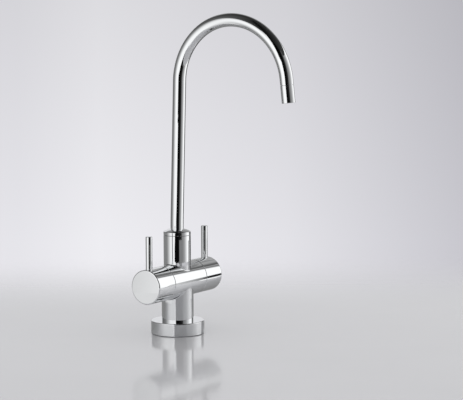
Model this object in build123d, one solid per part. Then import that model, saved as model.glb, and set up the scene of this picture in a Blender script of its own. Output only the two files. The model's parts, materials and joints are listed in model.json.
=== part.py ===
from build123d import *
import os
from math import cos, radians, sin

os.makedirs("parts", exist_ok=True)

# A two-lever drinking water tap that stands on a worktop.
# Sizes are in millimetres and degrees. +Z is up, the cross barrel runs along X and the spout points to -Y.
# The origin is on the worktop, on the axis of the column.

# Clearances
RUNNING_CLEARANCE = 0.05    # radial and axial play where one piece turns in another
FITTED_CLEARANCE = 0.02     # play where a piece is screwed, brazed or pushed into its seat
SEAM_GAP = 0.3              # visible gap between a turning cap or collar and the body
EDGE_BREAK = 0.25           # small chamfer on sharp outer rims

# Clamp on the worktop
WORKTOP_THICKNESS = 38.0    # worktop that the clamp is drawn at
PAD_THICKNESS = 3.0
PLATE_THICKNESS = 2.0
CLAMP_RADIUS = 24.0
CLAMP_SLOT = 25.0           # width of the slot that lets the hoses through
CLAMP_SLOT_WEB = 2.7        # metal between the stud's hole and the slot
CLAMP_ROUND = 1.0           # rounding of the slot's open corners
STUD_PLAY = 0.3             # play of the stud in the clamp plate's hole
STUD_RADIUS = 4.0
STUD_DEPTH = 14.0           # length of stud inside the body
STUD_OFFSET = 8.0           # stud and inlets stand on a circle of this radius
STUD_TAIL = 12.0            # length of stud below the nut
STUD_CHAMFER = 0.8
NUT_ACROSS_FLATS = 13.0
NUT_HEIGHT = 25.0
NUT_BREAK = 0.25            # chamfer of the nut's bore

# Base
FLANGE_RADIUS = 26.0
FLANGE_TOP = 13.0
FLANGE_ROUND = 0.9
SEAL_PROUD = 0.5            # how far the base seal lifts the flange off the worktop
SEAL_INSET = 1.0            # base seal's edge inside the flange's edge
SEAL_WIDTH = 6.0
SEAL_GROOVE = 2.0

# Inlets in the foot of the body
PORT_RADIUS = 4.5           # tapping hole of an M10 x 1 thread
PORT_DEPTH = 12.0
PORT_ANGLE = 35.0           # inlets stand this far behind the X axis
SPIGOT_LEDGE = 1.5          # ledge of the column that sits on the flange
SPIGOT_LIFT = 2.0           # underside of the spigot above the worktop
FEED_RADIUS = 1.8           # drilling from an inlet up to its valve
FEED_OFFSET = 2.0           # drilling's distance behind the column's axis

# Ceramic valve, from the middle of the barrel outwards
WEB_HALF = 3.0              # half the wall between the two inlet chambers
INLET_LENGTH = 4.0
INLET_RADIUS = 3.0
SEAT_SEAL_THICKNESS = 2.0
SEAT_SEAL_WIDTH = 3.0
DISC_RADIUS = 6.5
DISC_THICKNESS = 3.0
DISC_HOLE_RADIUS = 1.7
DISC_HOLE_OFFSET = 4.0
NOTCH_RADIUS = 2.2
NOTCH_OFFSET = 4.6
TONGUE_WIDTH = 3.0
TONGUE_DEPTH = 1.4
HEAD_LENGTH = 4.4           # wide inner end of the spindle
HOUSING_WALL = 1.9
WINDOW_WIDTH = 5.0
WINDOW_LENGTH = 4.0
GALLERY_DEPTH = 1.0         # ring channel round the cartridge windows
SHOULDER_THICKNESS = 2.0
SHOULDER_STEP = 2.4
STEM_RADIUS = 4.0
STEM_WALL = 2.45
STEM_SLEEVE = 9.5           # cartridge beyond its shoulder
STEM_SEAL_SECTION = 0.55    # radius of the O-ring's cord
STEM_SEAL_PITCH = 3.0
NUT_RING_LENGTH = 4.5
NUT_RING_RECESS = 0.5
NUT_SLOT_WIDTH = 2.0
NUT_SLOT_DEPTH = 1.2
CLIP_THICKNESS = 0.9
CLIP_WIDTH = 2.6
CLIP_GROOVE = 0.65          # depth of the clip's groove in the spindle
SPLINE_TEETH = 18
SPLINE_DEPTH = 0.3

# Cross barrel and turning caps
BARREL_HEIGHT = 52.0
BARREL_WALL = 5.88
CAP_WALL = 2.75
CAP_CAVITY = 15.2
CAP_SOCKET = 6.5            # depth of the socket for the spindle's end
CAP_END = 4.6
CAP_ROUND = 1.2
SPINDLE_TIP_GAP = 0.5
GRUB_RADIUS = 2.0
GRUB_LENGTH = 8.0
GRUB_KEY = 2.0              # hexagon socket across its flats
GRUB_KEY_DEPTH = 2.5

# Levers
LEVER_RADIUS = 3.2
LEVER_INSET = 6.3           # lever's axis from the cap's end face
LEVER_WEB = 4.95            # metal between the lever's foot and the spindle's socket
LEVER_LENGTH = 39.5
LEVER_ROUND = 0.8

# Column and neck
COLUMN_STEP = 1.25          # barrel stands this much prouder than the column
JUNCTION_ROUND = 1.2
CHAMBER_WEB = 4.5
CHAMBER_DEPTH = 4.0
BUSH_THICKNESS = 2.0
BUSH_WIDTH = 2.9
PASSAGE_RADIUS = 1.6
NECK_WALL = 3.27
NECK_LIP = 3.6

# Spout's foot and collar
TUBE_RADIUS = 6.35
TUBE_WALL = 0.9
FOOT_WALL = 1.6
FOOT_STEP = 1.96
FOOT_LENGTH = 19.9
FOOT_SEAT = 8.0             # tube's end above the bottom of the foot
FOOT_SEAL_SECTION = 1.0
FOOT_SEAL_PITCH = 8.0
FOOT_SEAL_START = 4.0
SEAL_GROOVE_PLAY = 0.2      # groove wider than the O-ring's cord, each side
SPOUT_CLIP_THICKNESS = 1.1
SPOUT_CLIP_GROOVE = 0.8
CLIP_OPENING = 70.0         # gap of a spring clip, in degrees
COLLAR_SKIRT = 3.1
COLLAR_GRIP = 1.9           # how far the foot reaches into the collar
DOME_RISE = 2.4
DOME_BULGE = 0.35
COLLAR_ROUND = 0.7

# Gooseneck
LEAN = 1.8                  # forward lean of the riser
LEAN_BEND = 300.0
STRAIGHT_FOOT = 1.0         # straight tube above the collar before the lean starts
RISER_LENGTH = 134.4
ARC_RADIUS = 61.0
ARC_ANGLE = 172.0
NOSE_LENGTH = 5.0           # straight tube between the bend and the outlet sleeve
SLEEVE_LENGTH = 17.0
SLEEVE_SEAM = 0.15
SLEEVE_SPIGOT = 6.0
SPIGOT_WALL = 1.1
SLEEVE_WALL = 1.15
INSERT_THICKNESS = 5.0
INSERT_RECESS = 1.5
INSERT_HOLE_RADIUS = 0.7
INSERT_HOLE_PITCH = 2.0
WASHER_THICKNESS = 1.5
WASHER_WIDTH = 0.8

# Sizes that follow
spigot_bottom = SPIGOT_LIFT
stem_bore = STEM_RADIUS + RUNNING_CLEARANCE
disc_bore = DISC_RADIUS + RUNNING_CLEARANCE
housing_radius = disc_bore + HOUSING_WALL
cavity_radius = housing_radius + FITTED_CLEARANCE
gallery_radius = cavity_radius + GALLERY_DEPTH
shoulder_radius = housing_radius + SHOULDER_STEP
counterbore_radius = shoulder_radius + FITTED_CLEARANCE
sleeve_radius = stem_bore + STEM_WALL
barrel_radius = counterbore_radius + BARREL_WALL
column_radius = barrel_radius - COLUMN_STEP
spigot_radius = column_radius - SPIGOT_LEDGE

seat_x = WEB_HALF + INLET_LENGTH
fixed_disc_x = seat_x + SEAT_SEAL_THICKNESS
moving_disc_x = fixed_disc_x + DISC_THICKNESS + RUNNING_CLEARANCE
head_x = moving_disc_x + DISC_THICKNESS
shoulder_x = head_x + HEAD_LENGTH + RUNNING_CLEARANCE
window_x = head_x - WINDOW_LENGTH / 2 + HEAD_LENGTH / 2
nut_ring_x = shoulder_x + SHOULDER_THICKNESS
barrel_half = nut_ring_x + NUT_RING_LENGTH + NUT_RING_RECESS
stem_end_x = nut_ring_x + STEM_SLEEVE
clip_x = stem_end_x + RUNNING_CLEARANCE
cap_x = barrel_half + SEAM_GAP
socket_x = cap_x + CAP_CAVITY
socket_end_x = socket_x + CAP_SOCKET
cap_end_x = socket_end_x + CAP_END
spindle_end_x = socket_end_x - SPINDLE_TIP_GAP
lever_x = cap_end_x - LEVER_INSET
socket_radius = STEM_RADIUS + FITTED_CLEARANCE
lever_foot = socket_radius + LEVER_WEB

foot_bore = TUBE_RADIUS + FITTED_CLEARANCE
foot_neck_radius = foot_bore + FOOT_WALL
foot_radius = foot_neck_radius + FOOT_STEP
neck_bore = foot_radius + RUNNING_CLEARANCE
neck_radius = neck_bore + NECK_WALL
chamber_radius = neck_bore - BUSH_WIDTH / 2
chamber_bottom = BARREL_HEIGHT + gallery_radius + CHAMBER_WEB
bush_bottom = chamber_bottom + CHAMBER_DEPTH
foot_bottom = bush_bottom + BUSH_THICKNESS + RUNNING_CLEARANCE
tube_bottom = foot_bottom + FOOT_SEAT
foot_shoulder = foot_bottom + FOOT_LENGTH
spout_clip_bottom = foot_shoulder + RUNNING_CLEARANCE
spout_clip_top = spout_clip_bottom + SPOUT_CLIP_THICKNESS
neck_top = spout_clip_top + NECK_LIP
collar_bottom = neck_top + SEAM_GAP
foot_top = collar_bottom + COLLAR_GRIP
collar_shoulder = collar_bottom + COLLAR_SKIRT
collar_top = collar_shoulder + DOME_RISE

pad_top = -WORKTOP_THICKNESS
plate_top = pad_top - PAD_THICKNESS
nut_top = plate_top - PLATE_THICKNESS
nut_bottom = nut_top - NUT_HEIGHT
stud_bottom = nut_bottom - STUD_TAIL

PORTS = [(side * STUD_OFFSET * cos(radians(PORT_ANGLE)), STUD_OFFSET * sin(radians(PORT_ANGLE)))
         for side in (-1, 1)]
VALVE_FRAME = Plane(origin=(0, 0, BARREL_HEIGHT), x_dir=(0, 1, 0), z_dir=(1, 0, 0))


def rod(radius, bottom, top):
    """A round bar along Z between two heights."""
    return Pos(0, 0, bottom) * Cylinder(radius, top - bottom, align=(Align.CENTER, Align.CENTER, Align.MIN))


def ring(outer, inner, bottom, top):
    """A round bar with a round hole along its axis."""
    return rod(outer, bottom, top) - rod(inner, bottom, top)


def o_ring(outer, cord_radius, height):
    """A round-section ring that reaches out to a given radius."""
    return Pos(0, 0, height) * Torus(outer - cord_radius, cord_radius)


def groove(outer, inner, middle, width):
    """What a turning tool removes for a ring groove."""
    return ring(outer, inner, middle - width / 2, middle + width / 2)


def spring_clip(outer, inner, bottom, top):
    """A flat ring with an opening at its back."""
    half = radians(CLIP_OPENING / 2)
    reach = 2 * outer
    corners = [(0, 0), (reach * sin(half), reach * cos(half)), (-reach * sin(half), reach * cos(half))]
    opening = extrude(make_face(Polyline(*corners, close=True)), amount=top - bottom)
    return ring(outer, inner, bottom, top) - Pos(0, 0, bottom) * opening


def across(piece):
    """Turns a piece that was made along Z so that it lies along the barrel, outwards to +X."""
    return VALVE_FRAME * piece


def for_side(piece, side):
    """Puts a piece of the right valve on its side of the barrel."""
    return piece if side == "right" else mirror(piece, about=Plane.YZ)


def channel(start, end, radius):
    """A round drilling between two points."""
    path = Vector(*end) - Vector(*start)
    return Plane(origin=start, z_dir=path) * rod(radius, 0, path.length)


def valve_body():
    """Column, cross barrel and neck in one casting."""
    column = rod(column_radius, FLANGE_TOP, BARREL_HEIGHT)
    barrel = across(rod(barrel_radius, -barrel_half, barrel_half))
    neck = rod(neck_radius, BARREL_HEIGHT, neck_top)
    body = column + barrel + neck
    circles = body.edges().filter_by(GeomType.CIRCLE)
    body = chamfer([circles.sort_by(Axis.X)[0], circles.sort_by(Axis.X)[-1], circles.sort_by(Axis.Z)[-1]],
                   EDGE_BREAK)
    joins = body.edges().filter_by(lambda edge: edge.geom_type not in (GeomType.CIRCLE, GeomType.LINE))
    body = fillet(joins, JUNCTION_ROUND)
    body += rod(spigot_radius, spigot_bottom, FLANGE_TOP)
    body -= rod(chamber_radius, chamber_bottom, bush_bottom)
    body -= rod(neck_bore, bush_bottom, neck_top)
    body -= ring(neck_bore + SPOUT_CLIP_GROOVE, neck_bore - EDGE_BREAK,
                 spout_clip_bottom, spout_clip_top + FITTED_CLEARANCE)
    for side in ("left", "right"):
        body -= for_side(valve_cavity(), side)
    for x, y in PORTS:
        body -= Pos(x, y, 0) * rod(PORT_RADIUS, spigot_bottom, spigot_bottom + PORT_DEPTH)
    body -= Pos(0, -STUD_OFFSET, 0) * rod(STUD_RADIUS + FITTED_CLEARANCE, spigot_bottom,
                                          spigot_bottom + STUD_DEPTH + FITTED_CLEARANCE)
    return body


def valve_cavity():
    """Everything that is bored and drilled for the right valve."""
    bores = rod(INLET_RADIUS, WEB_HALF, seat_x)
    bores += rod(cavity_radius, seat_x, shoulder_x)
    bores += rod(gallery_radius, window_x, window_x + WINDOW_LENGTH)
    bores += rod(counterbore_radius, shoulder_x, barrel_half)
    feed_x = WEB_HALF + INLET_LENGTH / 2
    feed = Pos(feed_x, FEED_OFFSET, 0) * rod(FEED_RADIUS, spigot_bottom + PORT_DEPTH / 2, BARREL_HEIGHT)
    gallery = (window_x + WINDOW_LENGTH / 2, 0, BARREL_HEIGHT + cavity_radius)
    chamber = (chamber_radius - PASSAGE_RADIUS, 0, chamber_bottom + PASSAGE_RADIUS)
    return across(bores) + feed + channel(gallery, chamber, PASSAGE_RADIUS)


def base_flange():
    """Round plate that covers the worktop's hole and carries the column."""
    flange = rod(FLANGE_RADIUS, SEAL_PROUD, FLANGE_TOP)
    flange = fillet(flange.edges().filter_by(GeomType.CIRCLE).sort_by(Axis.Z)[-1], FLANGE_ROUND)
    flange = chamfer(flange.edges().filter_by(GeomType.CIRCLE).sort_by(Axis.Z)[0], EDGE_BREAK)
    flange -= rod(spigot_radius + FITTED_CLEARANCE, SEAL_PROUD, FLANGE_TOP)
    outer = FLANGE_RADIUS - SEAL_INSET + FITTED_CLEARANCE
    inner = FLANGE_RADIUS - SEAL_INSET - SEAL_WIDTH - FITTED_CLEARANCE
    return flange - ring(outer, inner, SEAL_PROUD, SEAL_PROUD + SEAL_GROOVE)


def base_seal():
    """Rubber ring that the flange stands on."""
    outer = FLANGE_RADIUS - SEAL_INSET
    return ring(outer, outer - SEAL_WIDTH, 0, SEAL_PROUD + SEAL_GROOVE)


def fixing_stud():
    """Threaded stud that pulls the body down on the worktop."""
    stud = rod(STUD_RADIUS, stud_bottom, spigot_bottom + STUD_DEPTH)
    stud = chamfer(stud.edges().filter_by(GeomType.CIRCLE), STUD_CHAMFER)
    return Pos(0, -STUD_OFFSET, 0) * stud


def horseshoe(bottom, top):
    """Round plate with a hole for the stud and a slot for the hoses, open to the back."""
    plate = rod(CLAMP_RADIUS, bottom, top)
    hole_radius = STUD_RADIUS + STUD_PLAY
    hole = Pos(0, -STUD_OFFSET, 0) * rod(hole_radius, bottom, top)
    slot_start = -STUD_OFFSET + hole_radius + CLAMP_SLOT_WEB
    plate -= Pos(0, slot_start, bottom) * Box(
        CLAMP_SLOT, 2 * CLAMP_RADIUS, top - bottom, align=(Align.CENTER, Align.MIN, Align.MIN))
    plate = fillet(plate.edges().filter_by(Axis.Z).group_by(Axis.Y)[-1], CLAMP_ROUND)
    return plate - hole


def stud_nut():
    """Long hexagon nut under the clamp plate."""
    nut = Pos(0, 0, nut_bottom) * extrude(
        RegularPolygon(NUT_ACROSS_FLATS / 2, 6, major_radius=False), amount=NUT_HEIGHT)
    nut -= rod(STUD_RADIUS + FITTED_CLEARANCE, nut_bottom, nut_top)
    nut = chamfer(nut.edges().filter_by(GeomType.CIRCLE), NUT_BREAK)
    return Pos(0, -STUD_OFFSET, 0) * nut


def seat_seal():
    """Rubber ring between the barrel's seat and the fixed disc."""
    return ring(INLET_RADIUS + SEAT_SEAL_WIDTH, INLET_RADIUS, seat_x, fixed_disc_x)


def fixed_disc():
    """Ceramic disc with two holes, held still in the cartridge."""
    disc = rod(DISC_RADIUS, fixed_disc_x, fixed_disc_x + DISC_THICKNESS)
    for side in (-1, 1):
        disc -= Pos(0, side * DISC_HOLE_OFFSET, 0) * rod(
            DISC_HOLE_RADIUS, fixed_disc_x, fixed_disc_x + DISC_THICKNESS)
    return disc


def moving_disc():
    """Ceramic disc with two notches, which uncover the holes after a quarter turn."""
    disc = rod(DISC_RADIUS, moving_disc_x, head_x)
    for side in (-1, 1):
        disc -= Pos(side * NOTCH_OFFSET, 0, 0) * rod(NOTCH_RADIUS, moving_disc_x, head_x)
    slot = Pos(0, 0, head_x) * Box(TONGUE_WIDTH + 2 * FITTED_CLEARANCE, 2 * DISC_RADIUS,
                                   TONGUE_DEPTH + FITTED_CLEARANCE,
                                   align=(Align.CENTER, Align.CENTER, Align.MAX))
    return disc - slot


def spindle():
    """Brass stem: a wide head with a tongue, a sealed stem, a clip groove and a splined end."""
    stem = rod(DISC_RADIUS, head_x, head_x + HEAD_LENGTH)
    tongue = Pos(0, 0, head_x) * Box(TONGUE_WIDTH, 2 * DISC_RADIUS, TONGUE_DEPTH,
                                     align=(Align.CENTER, Align.CENTER, Align.MAX))
    stem += tongue & rod(DISC_RADIUS, moving_disc_x, head_x)
    shaft = rod(STEM_RADIUS, head_x, spindle_end_x)
    stem += chamfer(shaft.edges().sort_by(Axis.Z)[-1], EDGE_BREAK)
    groove_width = 2 * (STEM_SEAL_SECTION + SEAL_GROOVE_PLAY)
    groove_floor = STEM_RADIUS - 2 * STEM_SEAL_SECTION - FITTED_CLEARANCE
    for height in stem_seal_places():
        stem -= groove(stem_bore, groove_floor, height, groove_width)
    stem -= ring(stem_bore, STEM_RADIUS - CLIP_GROOVE, clip_x, clip_x + CLIP_THICKNESS + FITTED_CLEARANCE)
    spline = Pos(STEM_RADIUS, 0, 0) * Rot(0, 0, 45) * Box(
        SPLINE_DEPTH * 2 ** 0.5, SPLINE_DEPTH * 2 ** 0.5, spindle_end_x - socket_x,
        align=(Align.CENTER, Align.CENTER, Align.MIN))
    stem -= [Rot(0, 0, tooth * 360 / SPLINE_TEETH) * Pos(0, 0, socket_x) * spline
             for tooth in range(SPLINE_TEETH)]
    return stem


def stem_seal_places():
    """Heights of the two O-rings along the stem's sleeve."""
    middle = (shoulder_x + stem_end_x) / 2
    return middle - STEM_SEAL_PITCH / 2, middle + STEM_SEAL_PITCH / 2


def stem_seals():
    """The two O-rings on the spindle."""
    return [o_ring(STEM_RADIUS, STEM_SEAL_SECTION, height) for height in stem_seal_places()]


def spindle_clip():
    """Spring clip that keeps the spindle in the cartridge."""
    inner = STEM_RADIUS - CLIP_GROOVE + FITTED_CLEARANCE
    return spring_clip(inner + CLIP_WIDTH, inner, clip_x, clip_x + CLIP_THICKNESS)


def cartridge_body():
    """Housing of the discs with side windows, a shoulder and a sleeve for the stem."""
    body = rod(housing_radius, fixed_disc_x, shoulder_x)
    body += rod(shoulder_radius, shoulder_x, nut_ring_x)
    body += rod(sleeve_radius, nut_ring_x, stem_end_x)
    body -= rod(disc_bore, fixed_disc_x, shoulder_x)
    body -= rod(stem_bore, shoulder_x, stem_end_x)
    window = Pos(0, 0, window_x) * Box(2 * housing_radius, WINDOW_WIDTH, WINDOW_LENGTH,
                                       align=(Align.CENTER, Align.CENTER, Align.MIN))
    window += Pos(0, 0, window_x) * Box(WINDOW_WIDTH, 2 * housing_radius, WINDOW_LENGTH,
                                        align=(Align.CENTER, Align.CENTER, Align.MIN))
    return body - window


def cartridge_nut():
    """Threaded ring with four spanner slots that clamps the cartridge's shoulder."""
    outer = shoulder_radius
    end = nut_ring_x + NUT_RING_LENGTH
    nut = ring(outer, sleeve_radius + SEAM_GAP, nut_ring_x, end)
    for turn in (0, 90):
        nut -= Rot(0, 0, turn) * Pos(0, 0, end) * Box(
            2 * outer, NUT_SLOT_WIDTH, NUT_SLOT_DEPTH, align=(Align.CENTER, Align.CENTER, Align.MAX))
    return nut


def handle_cap():
    """Turning end of the barrel: hollow towards the valve, solid where it holds spindle and lever."""
    cap = rod(barrel_radius, cap_x, cap_end_x)
    cap = fillet(cap.edges().filter_by(GeomType.CIRCLE).sort_by(Axis.Z)[-1], CAP_ROUND)
    cap = chamfer(cap.edges().filter_by(GeomType.CIRCLE).sort_by(Axis.Z)[0], EDGE_BREAK)
    cap -= rod(barrel_radius - CAP_WALL, cap_x, socket_x)
    cap -= rod(socket_radius, socket_x, socket_end_x)
    cap = across(cap)
    cap -= Pos(lever_x, 0, BARREL_HEIGHT) * rod(LEVER_RADIUS + FITTED_CLEARANCE, lever_foot, barrel_radius)
    cap -= Pos((socket_x + socket_end_x) / 2, 0, BARREL_HEIGHT) * rod(
        GRUB_RADIUS + FITTED_CLEARANCE, -barrel_radius, -socket_radius + EDGE_BREAK)
    return cap


def lever_rod():
    """Plain round lever, pushed into the cap."""
    lever = rod(LEVER_RADIUS, lever_foot + FITTED_CLEARANCE, lever_foot + LEVER_LENGTH)
    lever = fillet(lever.edges().filter_by(GeomType.CIRCLE).sort_by(Axis.Z)[-1], LEVER_ROUND)
    return Pos(lever_x, 0, BARREL_HEIGHT) * lever


def handle_grub_screw():
    """Headless screw that locks the cap on the spindle, from below."""
    top = -socket_radius
    screw = rod(GRUB_RADIUS, top - GRUB_LENGTH, top)
    screw -= Pos(0, 0, top - GRUB_LENGTH) * extrude(
        RegularPolygon(GRUB_KEY / 2, 6, major_radius=False), amount=GRUB_KEY_DEPTH)
    return Pos((socket_x + socket_end_x) / 2, 0, BARREL_HEIGHT) * screw


def spout_bush():
    """Low-friction ring under the spout's foot."""
    outer = neck_bore - FITTED_CLEARANCE
    return ring(outer, outer - BUSH_WIDTH, bush_bottom, bush_bottom + BUSH_THICKNESS)


def spout_seal_places():
    """Heights of the two O-rings on the spout's foot."""
    first = foot_bottom + FOOT_SEAL_START
    return first, first + FOOT_SEAL_PITCH


def spout_foot():
    """Turned sleeve on the tube's end, with two seal grooves and a shoulder under the clip."""
    foot = rod(foot_radius, foot_bottom, foot_shoulder) + rod(foot_neck_radius, foot_shoulder, foot_top)
    foot -= rod(foot_bore, tube_bottom, foot_top)
    foot -= rod(TUBE_RADIUS - TUBE_WALL, foot_bottom, tube_bottom)
    groove_width = 2 * (FOOT_SEAL_SECTION + SEAL_GROOVE_PLAY)
    groove_floor = foot_radius - 2 * FOOT_SEAL_SECTION - FITTED_CLEARANCE
    for height in spout_seal_places():
        foot -= groove(neck_bore, groove_floor, height, groove_width)
    return foot


def spout_seals():
    """The two O-rings that seal the spout in the neck."""
    return [o_ring(foot_radius, FOOT_SEAL_SECTION, height) for height in spout_seal_places()]


def spout_clip():
    """Spring clip in the neck's groove, over the foot's shoulder."""
    outer = neck_bore + SPOUT_CLIP_GROOVE - FITTED_CLEARANCE
    return spring_clip(outer, foot_neck_radius + SEAM_GAP, spout_clip_bottom, spout_clip_top)


def spout_collar():
    """Domed cap that closes the neck round the tube."""
    dome = Polyline((foot_bore, collar_top), (foot_bore, collar_bottom), (neck_radius, collar_bottom),
                    (neck_radius, collar_shoulder))
    middle = ((foot_bore + neck_radius) / 2, (collar_top + collar_shoulder) / 2 + DOME_BULGE)
    top = ThreePointArc((neck_radius, collar_shoulder), middle, (foot_bore, collar_top))
    collar = revolve(Plane.XZ * make_face(dome + top), axis=Axis.Z)
    rim = collar.edges().sort_by(lambda edge: abs(edge.center().Z - collar_shoulder))[0]
    collar = fillet(rim, COLLAR_ROUND)
    return collar - rod(foot_neck_radius + FITTED_CLEARANCE, collar_bottom, foot_top + FITTED_CLEARANCE)


def spout_path():
    """Middle line of the tube: the foot, a slight lean, the riser, the bend and the straight nose."""
    with BuildLine(Plane.YZ) as path:
        foot = Line((0, tube_bottom), (0, collar_top + STRAIGHT_FOOT))
        lean = JernArc(foot @ 1, foot % 1, LEAN_BEND, LEAN)
        riser = Line(lean @ 1, lean @ 1 + (lean % 1) * RISER_LENGTH)
        bend = JernArc(riser @ 1, riser % 1, ARC_RADIUS, ARC_ANGLE)
        Line(bend @ 1, bend @ 1 + (bend % 1) * NOSE_LENGTH)
    return path.wire()


def spout_tube():
    """Bent tube of the gooseneck."""
    path = spout_path()
    section = Circle(TUBE_RADIUS) - Circle(TUBE_RADIUS - TUBE_WALL)
    return sweep(Plane(origin=path @ 0, z_dir=path % 0) * section, path=path)


def outlet_frame():
    """Plane at the tube's open end, looking along the water."""
    path = spout_path()
    return Plane(origin=path @ 1, x_dir=(1, 0, 0), z_dir=path % 1)


def outlet_sleeve():
    """Short sleeve pushed into the tube's end, of the tube's own diameter."""
    spigot_outer = TUBE_RADIUS - TUBE_WALL - FITTED_CLEARANCE
    sleeve = rod(TUBE_RADIUS, SLEEVE_SEAM, SLEEVE_LENGTH)
    sleeve = chamfer(sleeve.edges().filter_by(GeomType.CIRCLE), EDGE_BREAK)
    sleeve += rod(spigot_outer, -SLEEVE_SPIGOT, SLEEVE_SEAM)
    sleeve -= rod(spigot_outer - SPIGOT_WALL, -SLEEVE_SPIGOT, SLEEVE_LENGTH)
    return sleeve - rod(TUBE_RADIUS - SLEEVE_WALL, insert_start() - WASHER_THICKNESS, SLEEVE_LENGTH)


def insert_start():
    """Distance of the flow straightener's upper face below the tube's end."""
    return SLEEVE_LENGTH - INSERT_RECESS - INSERT_THICKNESS


def outlet_insert():
    """Flow straightener: a disc with a centre hole and two rings of holes."""
    radius = TUBE_RADIUS - SLEEVE_WALL - FITTED_CLEARANCE
    insert = rod(radius, insert_start(), insert_start() + INSERT_THICKNESS)
    hole = rod(INSERT_HOLE_RADIUS, insert_start(), insert_start() + INSERT_THICKNESS)
    places = [Pos(0, 0, 0)]
    for turns in (1, 2):
        places += [Rot(0, 0, step * 60 / turns) * Pos(turns * INSERT_HOLE_PITCH, 0, 0)
                   for step in range(6 * turns)]
    return insert - [place * hole for place in places]


def outlet_washer():
    """Washer over the flow straightener."""
    outer = TUBE_RADIUS - SLEEVE_WALL - FITTED_CLEARANCE
    return ring(outer, outer - WASHER_WIDTH, insert_start() - WASHER_THICKNESS, insert_start())


def save(name, piece):
    """Writes one node's file."""
    solids = piece if isinstance(piece, list) else [piece]
    group = Compound(children=[solid for part in solids for solid in part.solids()])
    export_step(group, f"parts/{name}.step")


BODY_PIECES = {
    "valve_body": valve_body(),
    "base_flange": base_flange(),
    "base_seal": base_seal(),
    "fixing_stud": fixing_stud(),
    "rubber_horseshoe": horseshoe(plate_top, pad_top),
    "steel_horseshoe": horseshoe(nut_top, plate_top),
    "stud_nut": stud_nut(),
    "spout_bush": spout_bush(),
    "spout_clip": spout_clip(),
}
SPOUT_PIECES = {
    "spout_tube": spout_tube(),
    "spout_foot": spout_foot(),
    "spout_seals": spout_seals(),
    "spout_collar": spout_collar(),
    "outlet_sleeve": outlet_frame() * outlet_sleeve(),
    "outlet_insert": outlet_frame() * outlet_insert(),
    "outlet_washer": outlet_frame() * outlet_washer(),
}
VALVE_PIECES = {
    "seat_seal": across(seat_seal()),
    "fixed_disc": across(fixed_disc()),
    "moving_disc": across(moving_disc()),
    "spindle": across(spindle()),
    "stem_seals": [across(seal) for seal in stem_seals()],
    "spindle_clip": across(spindle_clip()),
    "cartridge_body": across(cartridge_body()),
    "cartridge_nut": across(cartridge_nut()),
    "handle_cap": handle_cap(),
    "lever_rod": lever_rod(),
    "handle_grub_screw": handle_grub_screw(),
}

for name, piece in {**BODY_PIECES, **SPOUT_PIECES}.items():
    save(name, piece)
for name, piece in VALVE_PIECES.items():
    for side in ("left", "right"):
        pieces = piece if isinstance(piece, list) else [piece]
        save(f"{side}_{name}", [for_side(solid, side) for solid in pieces])
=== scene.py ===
# %% [markdown]
# # A two-lever drinking water tap in polished chrome
# The tap stands on one hole: a column on a round foot, a cross barrel whose two ends turn as valves, a slim
# neck, and a gooseneck of bent tube. Every bright part is brass or steel under the same chrome plate.
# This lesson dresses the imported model. The model says where each piece is and what it moves with, and
# the cells below give the pieces true curves, finishes and light.

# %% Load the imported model
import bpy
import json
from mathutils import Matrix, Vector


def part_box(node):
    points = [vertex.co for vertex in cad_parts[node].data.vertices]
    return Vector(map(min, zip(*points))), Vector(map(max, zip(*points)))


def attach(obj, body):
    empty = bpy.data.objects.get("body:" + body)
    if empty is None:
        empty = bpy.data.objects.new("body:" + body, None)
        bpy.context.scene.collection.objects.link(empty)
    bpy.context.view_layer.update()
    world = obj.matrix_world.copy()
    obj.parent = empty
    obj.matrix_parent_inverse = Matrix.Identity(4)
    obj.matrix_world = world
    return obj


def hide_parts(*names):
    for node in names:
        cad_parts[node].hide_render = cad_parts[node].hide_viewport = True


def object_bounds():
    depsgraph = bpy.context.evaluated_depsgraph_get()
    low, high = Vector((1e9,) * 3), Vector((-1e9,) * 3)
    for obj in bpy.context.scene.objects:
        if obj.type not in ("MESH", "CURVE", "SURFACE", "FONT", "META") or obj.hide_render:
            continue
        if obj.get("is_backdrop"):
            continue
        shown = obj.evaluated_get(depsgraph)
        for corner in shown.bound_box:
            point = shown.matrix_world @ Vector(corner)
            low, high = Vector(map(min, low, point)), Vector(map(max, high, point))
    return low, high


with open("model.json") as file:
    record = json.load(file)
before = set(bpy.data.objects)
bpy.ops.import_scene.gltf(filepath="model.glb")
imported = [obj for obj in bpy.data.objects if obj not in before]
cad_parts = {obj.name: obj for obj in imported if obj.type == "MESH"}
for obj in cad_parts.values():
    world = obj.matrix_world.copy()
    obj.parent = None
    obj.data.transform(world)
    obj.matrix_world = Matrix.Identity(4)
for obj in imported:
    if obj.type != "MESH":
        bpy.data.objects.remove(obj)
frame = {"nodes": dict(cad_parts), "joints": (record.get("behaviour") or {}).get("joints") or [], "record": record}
cad_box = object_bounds()

# %% Tools and units
import json
from math import atan2, cos, hypot, pi, radians, sin, sqrt, tau

import bmesh
import bpy
import numpy as np
from mathutils import Matrix, Vector
from mathutils.geometry import tessellate_polygon

MM = 0.001


def box_mm(node):
    """A node's lowest and highest corner in millimetres."""
    low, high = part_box(node)
    return low / MM, high / MM


def add_object(name, data):
    """A new object in the scene."""
    thing = bpy.data.objects.new(name, data)
    bpy.context.collection.objects.link(thing)
    return thing


print("the model spans", [f"{(high - low) / MM:.1f}" for low, high in zip(*cad_box)], "mm")

# %% [markdown]
# ## The camera
# A long lens far away keeps the tap's upright lines parallel, as in a product picture. The camera is given
# the way a photographer would note it: bearing, distance and height, then how far it is tipped and turned.
# A focal length in pixels becomes millimetres through the width of the picture and of the sensor.

# %% Camera
PICTURE_WIDTH = 463          # pixels
FOCAL_PIXELS = 2150.0
SENSOR = 36.0                # mm
CAMERA_BEARING = -54.87      # degrees round the tap, 0 is in front of the spout
CAMERA_DISTANCE = 2.072
CAMERA_HEIGHT = 0.3878
CAMERA_TIP = 7.083
CAMERA_TURN = -1.468
CAMERA_ROLL = -0.292


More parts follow.
